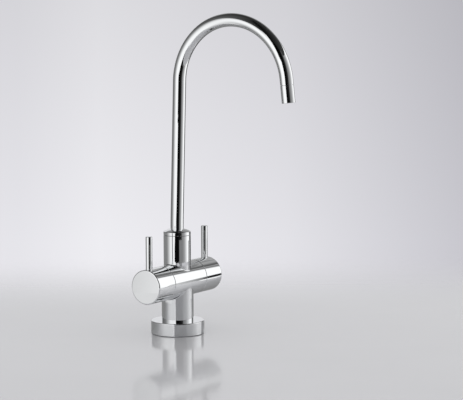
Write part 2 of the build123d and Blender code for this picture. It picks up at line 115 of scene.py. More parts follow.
def bearing(angle, distance=1.0, height=0.0):
    """A point at a bearing round the tap."""
    turn = radians(angle)
    return Vector((sin(turn) * distance, -cos(turn) * distance, height))


def make_camera():
    """A camera that looks past the tap's axis by a small turn."""
    ahead = -bearing(CAMERA_BEARING + CAMERA_TURN) * cos(radians(CAMERA_TIP))
    ahead.z = -sin(radians(CAMERA_TIP))
    right = ahead.cross(Vector((0, 0, 1))).normalized()
    right.rotate(Matrix.Rotation(-radians(CAMERA_ROLL), 3, ahead))
    lens = bpy.data.cameras.new("camera")
    lens.sensor_width = SENSOR
    lens.lens = FOCAL_PIXELS * SENSOR / PICTURE_WIDTH
    lens.clip_end = 50.0
    camera = add_object("camera", lens)
    camera.matrix_world = Matrix((right, right.cross(ahead), -ahead)).transposed().to_4x4()
    camera.location = bearing(CAMERA_BEARING, CAMERA_DISTANCE, CAMERA_HEIGHT)
    bpy.context.scene.camera = camera
    return camera


camera = make_camera()
print(f"camera: {camera.data.lens:.0f} mm lens at", [round(value, 3) for value in camera.location])

# %% [markdown]
# ## Writing node trees as sums
# A node tree is a drawing, which is slow to read. A small class wraps one output socket and lets Python's own
# signs add the Math nodes, so that a recipe reads as a formula. One method adds any other node, and a few
# recipes that come back often get a short name. The same wires serve finishes, light and geometry.

# %% Wires
class Wire:
    """One output of a node tree. Arithmetic on it adds Math nodes."""

    def __init__(self, tree, socket=None):
        self.tree = tree
        self.socket = socket

    def node(self, kind, settings=None, sockets=None, output=0):
        """Adds a node: settings first, then values or wires for its sockets. Gives a wire to one output."""
        made = self.tree.nodes.new(kind if kind.startswith(("Geometry", "NodeGroup")) else "ShaderNode" + kind)
        for name, value in (settings or {}).items():
            if name == "stops":
                self.set_stops(made.color_ramp, value)
            else:
                setattr(made, name, value)
        for name, value in (sockets or {}).items():
            if isinstance(value, Wire):
                self.tree.links.new(value.socket, made.inputs[name])
            else:
                made.inputs[name].default_value = value
        return Wire(self.tree, made.outputs[output]) if made.outputs else made

    @staticmethod
    def set_stops(ramp, stops):
        """Gives a colour ramp its stops, each a place and a grey or a colour."""
        while len(ramp.elements) < len(stops):
            ramp.elements.new(0.5)
        for element, (place, colour) in zip(ramp.elements, stops):
            element.position = place
            element.color = (*colour, 1.0) if isinstance(colour, tuple) else (colour, colour, colour, 1.0)

    def maths(self, operation, other=0.0):
        return self.node("Math", {"operation": operation}, {0: self, 1: other})

    def __add__(self, other):
        return self.maths("ADD", other)

    def __sub__(self, other):
        return self.maths("SUBTRACT", other)

    def __rsub__(self, other):
        return self.node("Math", {"operation": "SUBTRACT"}, {0: other, 1: self})

    def __mul__(self, other):
        return self.maths("MULTIPLY", other)

    def __truediv__(self, other):
        return self.maths("DIVIDE", other)

    def __rtruediv__(self, other):
        return self.node("Math", {"operation": "DIVIDE"}, {0: other, 1: self})

    __radd__ = __add__
    __rmul__ = __mul__


print("formulas use + - * and /, with numbers on either side")

# %% Short names for common nodes
def rise(value, low, high, **settings):
    """Goes from 0 to 1 as a value goes from low to high."""
    return value.node("MapRange", settings, {"Value": value, "From Min": low, "From Max": high})


def ramp(value, stops):
    """A colour or a grey for each size of a value."""
    return value.node("ValToRGB", {"stops": stops}, {"Fac": value})


def noise(place, scale, detail, **sockets):
    return place.node("TexNoise", None, {"Vector": place, "Scale": scale, "Detail": detail, **sockets})


def reach(place, direction):
    """How far a place or a direction reaches along another direction."""
    return place.node("VectorMath", {"operation": "DOT_PRODUCT"}, {0: place, 1: direction}, "Value")


def multiplied(first, second):
    """Two colours multiplied."""
    return first.node("Mix", {"data_type": "RGBA", "blend_type": "MULTIPLY"}, {0: 1.0, 6: first, 7: second}, 2)


def blend(share, first, second):
    """The first shader where a share is 0 and the second where it is 1."""
    return share.node("MixShader", None, {0: share, 1: first, 2: second})


def new_material(name):
    """An empty material and the wire that its tree starts from."""
    material = bpy.data.materials.new(name)
    material.use_nodes = True
    material.node_tree.nodes.clear()
    return material, Wire(material.node_tree)


print("short names: rise, ramp, noise, reach, multiplied, blend")

# %% [markdown]
# ## The studio
# Chrome has no colour of its own: it shows the room. So the room is built first, as a photographer would, from
# cards that stand round the tap. Each card is a strip bent round the tap's axis, which glows by a ramp along its
# width times a ramp up its height. The cards meet mirrored rays alone, so they shape reflections, and the even
# light of the room falls on everything else. A card lets pass a mirrored ray that comes straight off the floor,
# so that the glossy floor shows the tap and no hard edge of a card.

# %% Light that varies over a card
def off_the_floor(wire):
    """1 for a mirrored ray straight off the floor: it alone has gone through the film above the floor."""
    films, mirrors, mirrored = (wire.node("LightPath", output=word)
                                for word in ("Transparent Depth", "Glossy Depth", "Is Glossy Ray"))
    return mirrored * films.maths("GREATER_THAN", 0.5) * mirrors.maths("LESS_THAN", 1.5)


def glow_material(name, across, upward, strength, slant):
    """Light that changes across a card and up it. Slant leans the upright bands by a share of the width."""
    material, wire = new_material(name)
    place = wire.node("UVMap", {"uv_map": "card"})
    along, height = (wire.node("SeparateXYZ", None, {"Vector": place}, axis) for axis in "XY")
    colour = multiplied(ramp(along + slant * height, across), ramp(height, upward))
    light = wire.node("Emission", None, {"Color": colour, "Strength": strength})
    shown = blend(off_the_floor(wire), light, wire.node("BsdfTransparent"))
    wire.node("OutputMaterial", None, {"Surface": shown})
    return material


STEADY = [(0.0, 1.0), (1.0, 1.0)]
print("a steady card keeps one brightness:", STEADY)

# %% Cards bent round the tap
CARD_FOOT = 0.002
cards = []


def card_mesh(name, start, end, profile, steps):
    """A strip bent between two bearings, with its own width and height as UVs."""
    corners, uvs = [], []
    lengths = np.cumsum([0.0] + [hypot(*np.subtract(b, a)) for a, b in zip(profile, profile[1:])])
    for step in range(steps + 1):
        share = step / steps
        for (distance, height), length in zip(profile, lengths):
            corners.append(bearing(CAMERA_BEARING + start + (end - start) * share, distance, height))
            uvs.append((share, length / lengths[-1]))
    rows = len(profile)
    faces = [(step * rows + up, (step + 1) * rows + up, (step + 1) * rows + up + 1, step * rows + up + 1)
             for step in range(steps) for up in range(rows - 1)]
    mesh = bpy.data.meshes.new(name)
    mesh.from_pydata(corners, [], faces)
    layer = mesh.uv_layers.new(name="card")
    for loop in mesh.loops:
        layer.data[loop.index].uv = uvs[loop.vertex_index]
    return mesh


def add_card(name, start, end, profile, across, upward, strength, slant=0.0, steps=32):
    """A card between two bearings from the camera; its profile lists (distance, height)."""
    mesh = card_mesh(name, start, end, profile, steps)
    mesh.materials.append(glow_material(name, across, upward, strength, slant))
    card = add_object(name, mesh)
    card.visible_camera = False
    card.visible_shadow = False
    card.visible_diffuse = False
    card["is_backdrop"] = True
    cards.append(card)


def upright(distance, top, foot=CARD_FOOT):
    """The profile of a card that stands straight up."""
    return [(distance, foot), (distance, top)]


print("cards stand", CARD_FOOT / MM, "mm above the floor")

# %% [markdown]
# ## Two windows
# A big soft window on the left gives the broad white stripe of every upright, and a second one on the right lights
# the barrel. The left one is brightest beside the lens and fades outwards. Its edge there is made of several
# cards at several distances, so that the riser, the drop and the low parts all see it in the right place.

# %% Two windows
WINDOW_LIGHT = 1.25
FOOT_TOP = 0.026             # the left window's lowest part reaches farther right
LOW_TOP = 0.16               # up to here the lens card closes the window's edge
LEFT_HEIGHT = [(0.0, 0.9), (0.7, 1.0), (1.0, 0.6)]
add_card("left_window_foot", -100, -14, upright(0.31, FOOT_TOP),
         [(0.0, 0.22), (0.12, 0.30), (0.25, 0.48), (0.37, 0.70), (0.49, 0.92), (0.58, 1.0)],
         [(0.0, 0.9), (1.0, 0.9)], WINDOW_LIGHT)
add_card("left_window", -100, -24, upright(0.31, 0.46, FOOT_TOP),
         [(0.0, 0.22), (0.136, 0.30), (0.283, 0.48), (0.419, 0.70), (0.555, 0.92), (0.657, 1.0)],
         LEFT_HEIGHT, WINDOW_LIGHT)
add_card("left_window_edge", -34, -18, upright(0.50, LOW_TOP), STEADY, [(0.0, 0.9), (1.0, 0.92)], WINDOW_LIGHT)
add_card("left_window_high_edge", -34, -22, upright(0.50, 0.60, LOW_TOP), STEADY,
         [(0.0, 0.92), (0.6, 1.0), (1.0, 0.6)], WINDOW_LIGHT)
add_card("far_window_edge", -40, -22, upright(1.0, 0.45, 0.05), STEADY, STEADY, WINDOW_LIGHT)
add_card("far_dark_card", -22, -2, upright(1.0, 0.45, 0.05), STEADY, STEADY, 0.003)
add_card("right_window", 40, 126, upright(0.46, 0.52),
         [(0.0, 0.18), (0.15, 0.25), (0.256, 0.31), (0.37, 0.48), (0.5, 0.70), (0.63, 1.0), (0.91, 1.0),
          (0.95, 0.15), (1.0, 0.3)], STEADY, WINDOW_LIGHT, slant=0.03)
print("cards so far:", len(cards))

# %% [markdown]
# ## Dark and grey cards
# A black card beside the lens gives the black stripe that makes chrome look like chrome. Grey cards fill what
# lies between and behind the windows, and a few thin strips, some leaning and some flat on the floor, draw the
# bright and dark hairlines along the edges of the low parts.

# %% Black card beside the lens
WALL_TOP = 0.62
BLACK = [(0.0, 0.1), (0.8, 0.1), (1.0, 0.5)]
add_card("leaning_edge_card", -22, -14.5, upright(0.455, 0.155, 0.02),
         [(0.0, 1.0), (0.03, 0.0), (1.0, 0.0)], STEADY, WINDOW_LIGHT, slant=-3.9)
add_card("lens_card", -22, 18, upright(0.46, LOW_TOP), BLACK, STEADY, 0.03)
add_card("notched_lens_card", -10, 19.5, upright(0.46, 0.36, LOW_TOP),
         [(0.0, 0.1), (0.7, 0.1), (1.0, 0.5)], STEADY, 0.03)
add_card("high_lens_card", -22, 19.5, upright(0.46, WALL_TOP, 0.36), BLACK, [(0.0, 0.9), (1.0, 0.6)], 0.03)
print("cards so far:", len(cards))

# %% Grey cards and edge strips
add_card("low_grey_card", 16, 41, upright(0.455, 0.03), [(0.0, 0.5), (0.2, 1.0), (1.0, 1.0)], STEADY, 0.24)
add_card("near_grey_card", 17, 41, upright(0.50, WALL_TOP),
         [(0.0, 0.03), (0.75, 0.10), (0.95, 0.5), (1.0, 1.0)], [(0.0, 1.0), (1.0, 0.4)], 0.24, slant=0.45)
add_card("edge_strip_card", 104, 113.8, [(0.275, 0.002), (0.44, 0.003), (0.44, 0.030)],
         [(0.0, 0.75), (0.37, 0.5), (0.56, 0.3), (0.66, 0.03), (1.0, 0.02)], STEADY, 1.0)
add_card("white_edge_card", 109.5, 116, [(0.20, 0.002), (0.265, 0.002)],
         [(0.0, 0.6), (0.2, 1.0), (1.0, 1.0)], STEADY, 1.1)
add_card("rear_left_card", -152, -100, upright(0.75, WALL_TOP),
         [(0.0, 0.9), (0.4, 0.6), (1.0, 1.0)], [(0.0, 1.0), (1.0, 0.8)], 0.26)
add_card("rear_right_card", 126, 150, upright(0.75, WALL_TOP),
         [(0.0, 0.25), (0.25, 0.38), (0.55, 0.95), (1.0, 1.0)],
         [(0.0, 0.2), (0.1, 0.6), (0.4, 0.6), (0.7, 1.0)], 0.42)
add_card("rear_low_card", 158, 178, upright(0.76, 0.54, 0.20), STEADY, STEADY, 0.40)
print("cards so far:", len(cards))

# %% [markdown]
# ## Ceilings
# The top of the arc and the tops of the barrel look up. Two dim domes close the studio there: a dark one over
# the camera's side, and a lighter rim behind the tap.

# %% Ceilings
add_card("front_ceiling", -152, 124, [(0.80, WALL_TOP), (0.72, 0.80), (0.55, 0.98), (0.30, 1.10), (0.0, 1.14)],
         [(0.0, 0.6), (0.26, 1.0), (0.48, 0.05), (0.7, 0.3), (1.0, 0.6)],
         [(0.0, 1.0), (0.45, 0.5), (1.0, 0.3)], 0.16, steps=64)
add_card("rear_ceiling", 124, 208, [(0.76, 0.53), (0.72, 0.75), (0.60, 0.92), (0.30, 1.10), (0.0, 1.14)],
         [(0.0, 0.4), (0.3, 1.0), (1.0, 0.9)], [(0.0, 1.0), (0.25, 1.0), (0.45, 0.15), (1.0, 0.1)], 0.30)
print("cards in all:", len(cards))

# %% [markdown]
# ## Floor and background
# The floor is one pale sheet with a soft gloss, like polished stone: seen at a low angle it picks up the tap's
# foot. In the metal it carries painted shade, dim behind the tap, and a painted glare under the left window: there
# it glows for mirrored rays, because the cards throw no light on it. A clear film lies just above it and marks the
# rays that come off the floor. Away from the tap the floor fades into the plain pale backdrop, for the camera
# alone, so the picture has no horizon while reflections still meet a whole floor.

# %% Floor's finish
FADE_START = 0.12
FADE_END = 0.50
# Painted shade and a painted glare: levels that the floor glows with for mirrored rays alone.
PAINTED_REAR_SHADE = 0.26            # how the floor behind the tap shows in the metal's edges
PAINTED_FAR_SHADE = 0.06             # farther off on the right
PAINTED_LEFT_GLARE = 0.84            # and the floor under the left window in the left cap's face


def pale_stone(wire, place):
    """Pale stone with a faint cloudiness and an uneven polish."""
    colour = ramp(noise(place, 6.0, 4.0), [(0.3, (0.622, 0.622, 0.627)), (0.7, (0.642, 0.642, 0.647))])
    return wire.node("BsdfPrincipled", None, {
        "Base Color": colour, "Roughness": 0.07 + 0.05 * noise(place, 25.0, 3.0), "IOR": 1.5})


def sector(place, middle, low, high):
    """Rises from 0 to 1 towards a bearing from the camera; low and high are cosines off its middle."""
    outward = place.node("VectorMath", {"operation": "NORMALIZE"}, {0: place})
    return rise(reach(outward, bearing(CAMERA_BEARING + middle)), low, high)


def painted_in_metal(wire, place, surface):
    """The floor as mirrored rays meet it: painted shade behind the tap and a painted glare on its left."""
    away = wire.node("VectorMath", {"operation": "LENGTH"}, {0: place}, "Value")
    mirrored = wire.node("LightPath", output="Is Glossy Ray")
    far = rise(away, 0.33, 0.42) * sector(place, 137, 0.8, 0.92)
    # Painted shade: the floor glows dim behind the tap, for mirrored rays only.
    dim = wire.node("Emission", None, {"Color": ramp(far, [(0.0, PAINTED_REAR_SHADE), (1.0, PAINTED_FAR_SHADE)])})
    # Painted glare: the floor glows bright under the left window, for mirrored rays only.
    lit = wire.node("Emission", None, {"Strength": PAINTED_LEFT_GLARE})
    rear = blend(sector(place, 200, -0.05, 0.6) * mirrored, surface, dim)
    return blend(sector(place, -70, 0.86, 0.92) * rise(away, 0.19, 0.21) * mirrored, rear, lit)


def floor_material():
    """The stone with its painted shade and glare for the metal, which clears away behind the tap for the camera."""
    material, wire = new_material("pale_stone_floor")
    place = wire.node("TexCoord", output="Object")
    floor = painted_in_metal(wire, place, pale_stone(wire, place))
    fade = rise(reach(place, -bearing(CAMERA_BEARING)), FADE_START, FADE_END, interpolation_type="SMOOTHSTEP")
    seen = wire.node("LightPath", output="Is Camera Ray")
    wire.node("OutputMaterial", None, {"Surface": blend(fade * seen, floor, wire.node("BsdfTransparent"))})
    return material


print("the floor fades from", FADE_START, "to", FADE_END, "m behind the tap")

# %% Floor and film
FLOOR_HALF = 9.0
FILM_HEIGHT = 0.4 * MM


def make_sheet(name, height, material):
    """One large level sheet."""
    mesh = bpy.data.meshes.new(name)
    mesh.from_pydata([(x * FLOOR_HALF, y * FLOOR_HALF, height) for x, y in ((-1, -1), (1, -1), (1, 1), (-1, 1))],
                     [], [(0, 1, 2, 3)])
    mesh.materials.append(material)
    sheet = add_object(name, mesh)
    sheet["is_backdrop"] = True
    return sheet


make_sheet("floor", 0.0, floor_material())
clear, wire = new_material("clear_film")
wire.node("OutputMaterial", None, {"Surface": wire.node("BsdfTransparent")})
film = make_sheet("film", FILM_HEIGHT, clear)
film.visible_shadow = False
print("floor:", 2 * FLOOR_HALF, "m wide, film", FILM_HEIGHT / MM, "mm above it")

# %% Room light and backdrop
ROOM_PALE = (0.80, 0.80, 0.82, 1.0)
BACKDROP = [(0.0, (0.79, 0.785, 0.825)), (0.18, (0.855, 0.85, 0.885)), (0.6, (0.765, 0.76, 0.80)),
            (1.0, (0.58, 0.575, 0.62))]                                     # its colour from left to right
BACKDROP_FALL = [(-0.40, 0.99), (-0.142, 1.0), (0.09, 0.675), (0.6, 0.60)]  # and how it dims with steepness


def make_world():
    """A plain pale room, and behind the tap a backdrop that dims to the right and upwards."""
    world = bpy.data.worlds.new("room")
    world.use_nodes = True
    world.node_tree.nodes.clear()
    wire = Wire(world.node_tree)
    heading = wire.node("TexCoord", output="Generated")
    wall = ramp(rise(reach(heading, bearing(CAMERA_BEARING + 90)), -0.073, 0.133), BACKDROP)
    lowest, highest = BACKDROP_FALL[0][0], BACKDROP_FALL[-1][0]
    steep = rise(wire.node("SeparateXYZ", None, {"Vector": heading}, "Z"), lowest, highest)
    fall = ramp(steep, [((edge - lowest) / (highest - lowest), level) for edge, level in BACKDROP_FALL])
    room = wire.node("Background", None, {"Color": ROOM_PALE})
    backdrop = wire.node("Background", None, {"Color": multiplied(wall, fall)})
    wire.node("OutputWorld", None, {"Surface": blend(wire.node("LightPath", output="Is Camera Ray"), room, backdrop)})
    bpy.context.scene.world = world
    bpy.context.scene.view_settings.view_transform = "Standard"


make_world()
print("room colour", ROOM_PALE[:3])

# %% [markdown]
# ## Finishes
# Six finishes cover the tap. Chrome is a near mirror: what the eye reads as real is the slight haze of handling
# and the tiny change of polish from place to place, so noise moves its roughness and its colour by a little.

# %% Chrome
CHROME = (0.80, 0.81, 0.82)


def coated(name, recipe):
    """A finish made by a recipe, which takes Object coordinates and gives the sockets of one shader."""
    material, wire = new_material(name)
    surface = wire.node("BsdfPrincipled", None, recipe(wire.node("TexCoord", output="Object")))
    wire.node("OutputMaterial", None, {"Surface": surface})
    return material


def chrome_plate(place):
    """Chrome plate on polished brass: a mirror with a trace of haze."""
    haze = noise(place, 55.0, 4.0, Roughness=0.6)
    tone = ramp(haze, [(0.35, tuple(part - 0.012 for part in CHROME)),
                       (0.65, tuple(part + 0.006 for part in CHROME))])
    return {"Base Color": tone, "Metallic": 1.0, "Roughness": 0.010 + 0.020 * haze}


CHROME_PLATE = coated("chrome", chrome_plate)
print("chrome:", CHROME)

# %% [markdown]
# Brass and steel parts are turned on a lathe, which leaves fine rings. The rings follow distance from the
# piece's axis or place along it, so a wave texture on Object coordinates, bumped very slightly, draws them.

# %% Turned metals
def turned_metal(name, colour, roughness, bands):
    """Bare metal with the fine marks of a cutting tool."""
    def recipe(place):
        marks = place.node("TexWave", {"wave_type": "BANDS", "bands_direction": bands},
                           {"Vector": place, "Scale": 900.0, "Distortion": 0.6, "Detail": 2.0, "Detail Scale": 3.0})
        stain = noise(place, 160.0, 5.0, Roughness=0.65)
        return {"Base Color": ramp(stain, [(0.25, tuple(part * 0.78 for part in colour)), (0.7, colour)]),
                "Metallic": 1.0, "Roughness": roughness + 0.12 * stain + 0.05 * marks,
                "Normal": place.node("Bump", None, {"Strength": 0.25, "Distance": 0.00002, "Height": marks})}
    return coated(name, recipe)


BRASS = turned_metal("turned_brass", (0.78, 0.60, 0.30), 0.22, "X")
STEEL = turned_metal("zinc_steel", (0.62, 0.62, 0.63), 0.28, "Z")
print("turned metals:", BRASS.name, STEEL.name)

# %% [markdown]
# Rubber, acetal and ceramic are dull beside the metal. Rubber gets the dusty mottling of a moulded seal, acetal
# a milky skin with faint flow marks, and the lapped ceramic a fine even grain.

# %% Seals, plastic and ceramic
def moulded(name, dark, light, scale, roughness, spread, depth):
    """A moulded or lapped surface: mottled tone, mottled gloss and a shallow grain."""
    def recipe(place):
        mottle = noise(place, scale, 5.0, Roughness=0.6)
        return {"Base Color": ramp(mottle, [(0.3, dark), (0.7, light)]), "Roughness": roughness + spread * mottle,
                "Normal": place.node("Bump", None, {"Strength": 0.4, "Distance": depth,
                                                    "Height": noise(place, scale * 12, 2.0)})}
    return coated(name, recipe)


RUBBER = moulded("seal_rubber", (0.020, 0.020, 0.021), (0.045, 0.045, 0.046), 220.0, 0.55, 0.2, 0.00004)
ACETAL = moulded("white_acetal", (0.78, 0.78, 0.75), (0.86, 0.86, 0.84), 150.0, 0.32, 0.12, 0.00002)
CERAMIC = moulded("lapped_ceramic", (0.84, 0.83, 0.79), (0.90, 0.89, 0.86), 400.0, 0.20, 0.1, 0.00001)
print("dull finishes:", RUBBER.name, ACETAL.name, CERAMIC.name)

# %% [markdown]
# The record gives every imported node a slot, and a slot is a finish. Most of the valve's inner pieces keep their
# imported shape, so they are finished here and need nothing more.

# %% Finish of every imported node
FINISHES = {"chrome": CHROME_PLATE, "brass": BRASS, "steel": STEEL, "black_rubber": RUBBER,
            "white_plastic": ACETAL, "ceramic": CERAMIC}
SLOT_OF = {part["node"]: part["material_slot"] for part in frame["record"]["subparts"]}
for node, packed in frame["nodes"].items():
    packed.data.materials.clear()
    packed.data.materials.append(FINISHES[SLOT_OF[node]])
print("packed nodes finished:", len(frame["nodes"]))

# %% [markdown]
# ## True curves for polished metal
# A mirror shows every facet and every wrong normal, so the polished pieces are made again from their formulas.
# A skin collects patches, each a grid of points with the surface's own normals beside it. When the patches
# are joined into one closed mesh, the normals go with them, and rounds and flats stay exact.

# %% Skins with exact normals
WELD = 1e-6


class Skin:
    """Patches of points and true normals that become one closed mesh."""

    def __init__(self):
        self.points = []
        self.normals = []
        self.faces = []

    def add_corners(self, points, normals, place):
        """Stores corners, turned and moved into place."""
        if place is not None:
            turn = np.array(place.to_3x3())
            points = points @ turn.T + np.array(place.translation)
            normals = normals @ turn.T
        self.points.extend(points)
        self.normals.extend(normals)

    def grid(self, points, normals, place=None):
        """Adds rows of points; each row joins its last point to its first."""
        points, normals = np.asarray(points, float), np.asarray(normals, float)
        rows, columns = points.shape[:2]
        first = len(self.points)
        self.add_corners(points.reshape(-1, 3), normals.reshape(-1, 3), place)
        for row in range(rows - 1):
            for column in range(columns):
                after = (column + 1) % columns
                here = first + row * columns
                self.faces.append((here + column, here + after, here + columns + after, here + columns + column))

    def flat(self, loops, normal, place=None):
        """Adds a flat face with holes: the outline first, then the holes."""
        first = len(self.points)
        corners = np.array([corner for loop in loops for corner in loop])
        self.add_corners(corners, np.tile(normal, (len(corners), 1)), place)
        triangles = tessellate_polygon([[Vector(corner) for corner in loop] for loop in loops])
        self.faces.extend(tuple(first + corner for corner in triangle) for triangle in triangles)

    def build(self, name, material):
        """Welds the patches, turns faces outwards and writes the true normals."""
        points, normals = np.array(self.points), np.array(self.normals)
        faces = []
        for face in self.faces:
            corners = points[list(face)]
            across = np.cross(corners[2] - corners[0], corners[-1] - corners[1])
            outward = across @ normals[list(face)].sum(0) >= 0
            faces.append(face if outward else face[::-1])
        mesh = bpy.data.meshes.new(name)
        mesh.from_pydata(points * MM, [], faces)
        store = mesh.attributes.new("true_normal", "FLOAT_VECTOR", "CORNER")
        order = np.array([corner for face in faces for corner in face])
        store.data.foreach_set("vector", normals[order].astype(np.float32).ravel())
        weld(mesh)
        true = np.zeros(len(mesh.loops) * 3, np.float32)
        mesh.attributes["true_normal"].data.foreach_get("vector", true)
        mesh.attributes.remove(mesh.attributes["true_normal"])
        mesh.normals_split_custom_set(true.reshape(-1, 3))
        mesh.materials.append(material)
        return add_object(name, mesh)


def weld(mesh):
    """Joins corners that lie in one place and drops faces with no area."""
    work = bmesh.new()
    work.from_mesh(mesh)
    bmesh.ops.remove_doubles(work, verts=work.verts, dist=WELD)
    bmesh.ops.dissolve_degenerate(work, edges=work.edges, dist=WELD / 10)
    work.to_mesh(mesh)
    work.free()


print("corners closer than", WELD / MM, "mm are joined")

# %% [markdown]
# Most of the tap was turned, so most of it is a profile spun about an axis. A profile is a list of corners
# (radius, height, rounding), walked with the metal on the left. Straight stretches keep one normal from
# end to end, and each rounding is an arc whose normals swing with it.

# %% Runs of a profile
ROUND_STEPS = 8


def right_hand(start, end):
    """The outward normal of a stretch walked with the metal on the left."""
    along = np.subtract(end, start)
    return np.array((along[1], -along[0])) / hypot(*along)


def arc_run(centre, radius, start, end, steps=ROUND_STEPS):
    """A run of points on an arc, with normals away from its centre."""
    turns = np.linspace(start, end, steps + 1)
    normals = np.stack([np.cos(turns), np.sin(turns)], 1)
    return np.array(centre) + radius * normals, normals


def round_run(corner, radius, cut, along, normal, beyond):
    """The arc that rounds one corner of a profile."""
    turned = right_hand(corner, beyond)
    sense = 1.0 if normal[0] * turned[1] - normal[1] * turned[0] > 0 else -1.0
    centre = corner - along * cut - normal * radius * sense
    start = atan2(normal[1] * sense, normal[0] * sense)
    sweep = atan2(normal[0] * turned[1] - normal[1] * turned[0], normal @ turned)
    points, outward = arc_run(centre, radius, start, start + sweep)
    return points, outward * sense


def profile_runs(corners, closed=False):
    """Straight runs and round runs of a profile, each as (points, normals)."""
    spots = [np.array(corner[:2], float) for corner in corners]
    rounds = [corner[2] if len(corner) > 2 else 0.0 for corner in corners]
    count = len(corners)
    cuts = [0.0] * count
    for index in range(count):
        if rounds[index]:
            before = right_hand(spots[index - 1], spots[index])
            after = right_hand(spots[index], spots[(index + 1) % count])
            cuts[index] = rounds[index] * sqrt((1 - before @ after) / (1 + before @ after))
    runs = []
    for index in range(count if closed else count - 1):
        follow = (index + 1) % count
        start, end = spots[index], spots[follow]
        along = (end - start) / hypot(*(end - start))
        normal = right_hand(start, end)
        runs.append((np.array([start + along * cuts[index], end - along * cuts[follow]]), np.array([normal] * 2)))
        if rounds[follow] and (closed or follow < count - 1):
            runs.append(round_run(end, rounds[follow], cuts[follow], along, normal, spots[(follow + 1) % count]))
    return runs


print("each rounding has", ROUND_STEPS, "steps")

# %% Spinning a profile
TURN_STEPS = 96


def even_angles(count=TURN_STEPS):
    return np.arange(count) * tau / count


def spin(skin, runs, place=None, angles=None):
    """Adds runs of a profile, spun about the local Z axis."""
    angles = even_angles() if angles is None else angles
    ring = np.stack([np.cos(angles), np.sin(angles)], 1)
    for run in runs:
        grids = [[[(r * c, r * s, z) for c, s in ring] for r, z in part] for part in run]
        skin.grid(*grids, place)


def turned(name, runs, material=CHROME_PLATE, place=None):
    """One closed turned piece."""
    skin = Skin()
    spin(skin, runs, place)
    return skin.build(name, material)


def dress(piece, body, node):
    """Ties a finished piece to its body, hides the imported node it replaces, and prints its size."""
    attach(piece, body)
    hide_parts(node)
    spans = [f"{span / MM:.1f}" for span in piece.dimensions]
    print(f"{piece.name}: {' x '.join(spans)} mm, {len(piece.data.polygons)} faces")


print("turned pieces have", TURN_STEPS, "sides")

# %% [markdown]
# ## The base
# The flange is a plain turned plate with a softly rounded upper edge. It stands on a rubber ring let into its
# underside, which shows as the thin dark line under the metal.

# %% Base flange and its seal
EDGE = 0.25                  # small rounding of sharp rims, in millimetres
CLEARANCE = 0.02             # between pieces that are pushed or screwed together
FLANGE_ROUND = 0.9
SPIGOT_RADIUS = 14.0
SEAL_WIDTH = 6.0
flange_low, flange_high = box_mm("base_flange")
seal_low, seal_high = box_mm("base_seal")
bore = SPIGOT_RADIUS + CLEARANCE
groove_outer = seal_high.x + CLEARANCE
groove_inner = seal_high.x - SEAL_WIDTH - CLEARANCE
dress(turned("chrome_base_flange", profile_runs([
    (bore, flange_low.z), (groove_inner, flange_low.z), (groove_inner, seal_high.z), (groove_outer, seal_high.z),
    (groove_outer, flange_low.z), (flange_high.x, flange_low.z, EDGE), (flange_high.x, flange_high.z, FLANGE_ROUND),
    (bore, flange_high.z)], closed=True)), "body", "base_flange")
dress(turned("rubber_base_seal", profile_runs([
    (seal_high.x - SEAL_WIDTH, seal_low.z, EDGE), (seal_high.x, seal_low.z, EDGE),
    (seal_high.x, seal_high.z, EDGE), (seal_high.x - SEAL_WIDTH, seal_high.z, EDGE)], closed=True), RUBBER),
    "body", "base_seal")

# %% [markdown]
# ## A barrel with a branch
# The column and the neck leave the cross barrel at right angles, and a grinder has softened both joins. The
# softening is the track of a ball that rolls in the corner: its centre keeps one distance from both cylinders,
# so each point of the join has a formula, and so has its normal. The barrel's wall is then stretched from the
# track out to the barrel's ends, and the branch's wall rises from the track's other side.

# %% The softened corner and the upright wall
def ball_track(skin, radius, middle, branch, soften, angles, rise_to, place):
    """Adds the softened corner between a barrel and its branch."""
    ring = np.stack([np.cos(angles), np.sin(angles)], 1)
    centre = np.column_stack([middle + (branch + soften) * ring[:, 0], (branch + soften) * ring[:, 1], rise_to])
    down = -np.column_stack([0 * rise_to, centre[:, 1], centre[:, 2]]) / (radius + soften)
    inward = -np.column_stack([ring, 0 * rise_to])
    opening = np.arccos(np.clip((down * inward).sum(1), -1, 1))[:, None]
    rows, normals = [], []
    for share in np.linspace(0, 1, ROUND_STEPS + 1):
        toward = (np.sin((1 - share) * opening) * down + np.sin(share * opening) * inward) / np.sin(opening)
        rows.append(centre + soften * toward)
        normals.append(-toward)
    skin.grid(rows, normals, place)


def upright_wall(skin, middle, radius, foot, top, angles, place, facing=1.0):
    """Adds a round upright wall from a wavy foot to a level top; facing is -1 for the wall of a hole."""
    ring = np.stack([np.cos(angles), np.sin(angles)], 1)
    low = np.column_stack([middle + radius * ring[:, 0], radius * ring[:, 1], foot])
    high = np.column_stack([low[:, :2], np.full(len(angles), top)])
    normals = facing * np.column_stack([ring, 0 * angles])
    skin.grid([low, high], [normals, normals], place)


print("the softened corner has", ROUND_STEPS, "steps")

# %% Half a barrel with a branch or a hole
ALONG_STEPS = 40
HALF_STEPS = 48
SPREAD_STEPS = 14


def frame_outline(start, end, middle):
    """Corners round the unrolled half barrel, as (x, angle from the branch)."""
    angles = np.linspace(-pi / 2, pi / 2, HALF_STEPS + 1)
    spots = np.linspace(start, end, ALONG_STEPS + 1)
    outline = [(end, angle) for angle in angles[:-1]]
    outline += [(spot, pi / 2) for spot in spots[:0:-1]]
    outline += [(start, angle) for angle in angles[:0:-1]]
    outline += [(spot, -pi / 2) for spot in spots[:-1]]
    return np.array(outline) - np.array((middle, 0.0))


def on_barrel(radius, x, angle):
    """Points and normals on a barrel along X; the angle is measured from the branch's side."""
    normals = np.stack([0 * angle, np.sin(angle), np.cos(angle)], -1)
    points = radius * normals
    points[..., 0] = x
    return points, normals


